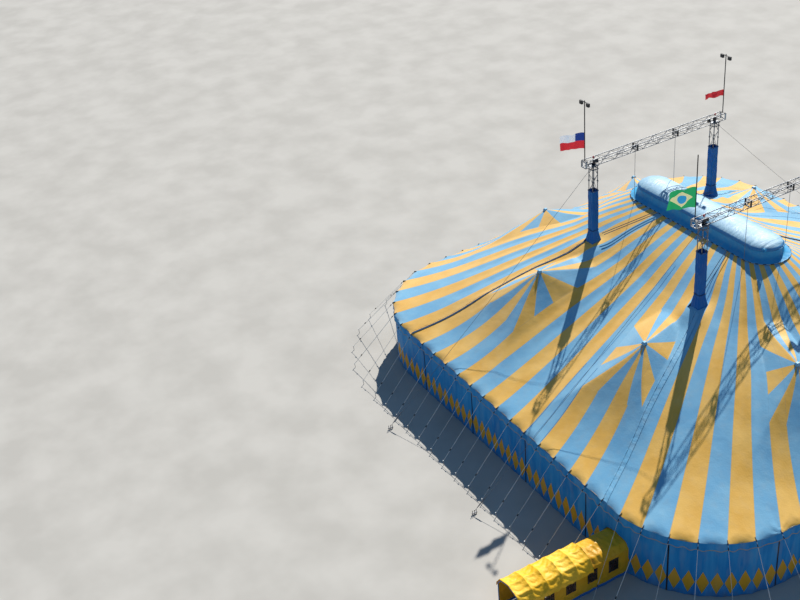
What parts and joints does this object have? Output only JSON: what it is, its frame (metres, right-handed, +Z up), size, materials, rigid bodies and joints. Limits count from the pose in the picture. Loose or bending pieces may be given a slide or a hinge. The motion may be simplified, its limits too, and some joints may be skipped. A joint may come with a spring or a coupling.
{
  "type": "four-mast circus big top tent",
  "caption": "Striped four-mast circus tent with a ridge cupola, lattice masts and beams, patterned side walls, guy ropes and an entrance tunnel.",
  "frame": {"origin": "on the ground at the middle of everything that stands there, guy stakes and tunnel included, which is 1.3175 m in front of the cupola's middle", "axes": "+Z up; +X along the cupola; +Y along the truss beams, away from the entrance tunnel"},
  "size_m": [38.0958, 39.805, 17.59],
  "materials": {
    "lattice_aluminium": "mill-finish lattice tube",
    "pole_steel": "galvanised steel tube",
    "frame_steel": "galvanised steel ring and cables",
    "pole_painted": "dark painted steel pole",
    "flag_cloth": "woven polyester flag",
    "dark_blue_vinyl": "dark blue coated fabric",
    "striped_vinyl": "light blue and golden yellow coated fabric stripes",
    "cupola_blue_vinyl": "mid blue coated fabric",
    "pale_blue_vinyl": "pale blue wrinkled coated fabric",
    "wall_vinyl": "blue coated fabric with a row of yellow diamonds",
    "valance_vinyl": "blue coated fabric with a tan trim line",
    "guy_webbing": "polyester webbing on steel stakes",
    "steel_cable": "steel wire rope",
    "oversheet_vinyl": "rumpled yellow coated fabric",
    "tunnel_vinyl": "yellow coated fabric with a blue hem"
  },
  "bodies": {
    "root": {"cupola_frame": "frame_steel", "cupola_top": "pale_blue_vinyl", "cupola_wall": "cupola_blue_vinyl", "flag_1": "flag_cloth", "flag_2": "flag_cloth", "flag_3": "flag_cloth", "flag_4": "flag_cloth", "flagpole_1": "pole_painted", "flagpole_2": "pole_painted", "flagpole_3": "pole_painted", "flagpole_4": "pole_painted", "guy_ropes_back": "guy_webbing", "guy_ropes_front": "guy_webbing", "guy_ropes_left_back": "guy_webbing", "guy_ropes_left_front": "guy_webbing", "guy_ropes_right_back": "guy_webbing", "guy_ropes_right_front": "guy_webbing", "king_pole_1": "lattice_aluminium", "king_pole_2": "lattice_aluminium", "king_pole_3": "lattice_aluminium", "king_pole_4": "lattice_aluminium", "mast_sleeve_1": "dark_blue_vinyl", "mast_sleeve_2": "dark_blue_vinyl", "mast_sleeve_3": "dark_blue_vinyl", "mast_sleeve_4": "dark_blue_vinyl", "mast_stay_1": "steel_cable", "mast_stay_2": "steel_cable", "mast_stay_3": "steel_cable", "mast_stay_4": "steel_cable", "quarter_pole_1": "pole_steel", "quarter_pole_2": "pole_steel", "quarter_pole_3": "pole_steel", "quarter_pole_4": "pole_steel", "quarter_pole_5": "pole_steel", "quarter_pole_6": "pole_steel", "quarter_pole_7": "pole_steel", "quarter_pole_8": "pole_steel", "roof_back": "striped_vinyl", "roof_front": "striped_vinyl", "roof_left_back": "striped_vinyl", "roof_left_front": "striped_vinyl", "roof_right_back": "striped_vinyl", "roof_right_front": "striped_vinyl", "side_poles_back_left": "pole_steel", "side_poles_back_right": "pole_steel", "side_poles_front_left": "pole_steel", "side_poles_front_right": "pole_steel", "side_wall_back": "wall_vinyl", "side_wall_front": "wall_vinyl", "side_wall_left": "wall_vinyl", "side_wall_over_door": "wall_vinyl", "side_wall_right": "wall_vinyl", "truss_beam_left": "lattice_aluminium", "truss_beam_right": "lattice_aluminium", "tunnel_oversheet": "oversheet_vinyl", "tunnel_roof": "tunnel_vinyl", "tunnel_wall_left": "tunnel_vinyl", "tunnel_wall_right": "tunnel_vinyl", "valance": "valance_vinyl"}
  },
  "joints": []
}
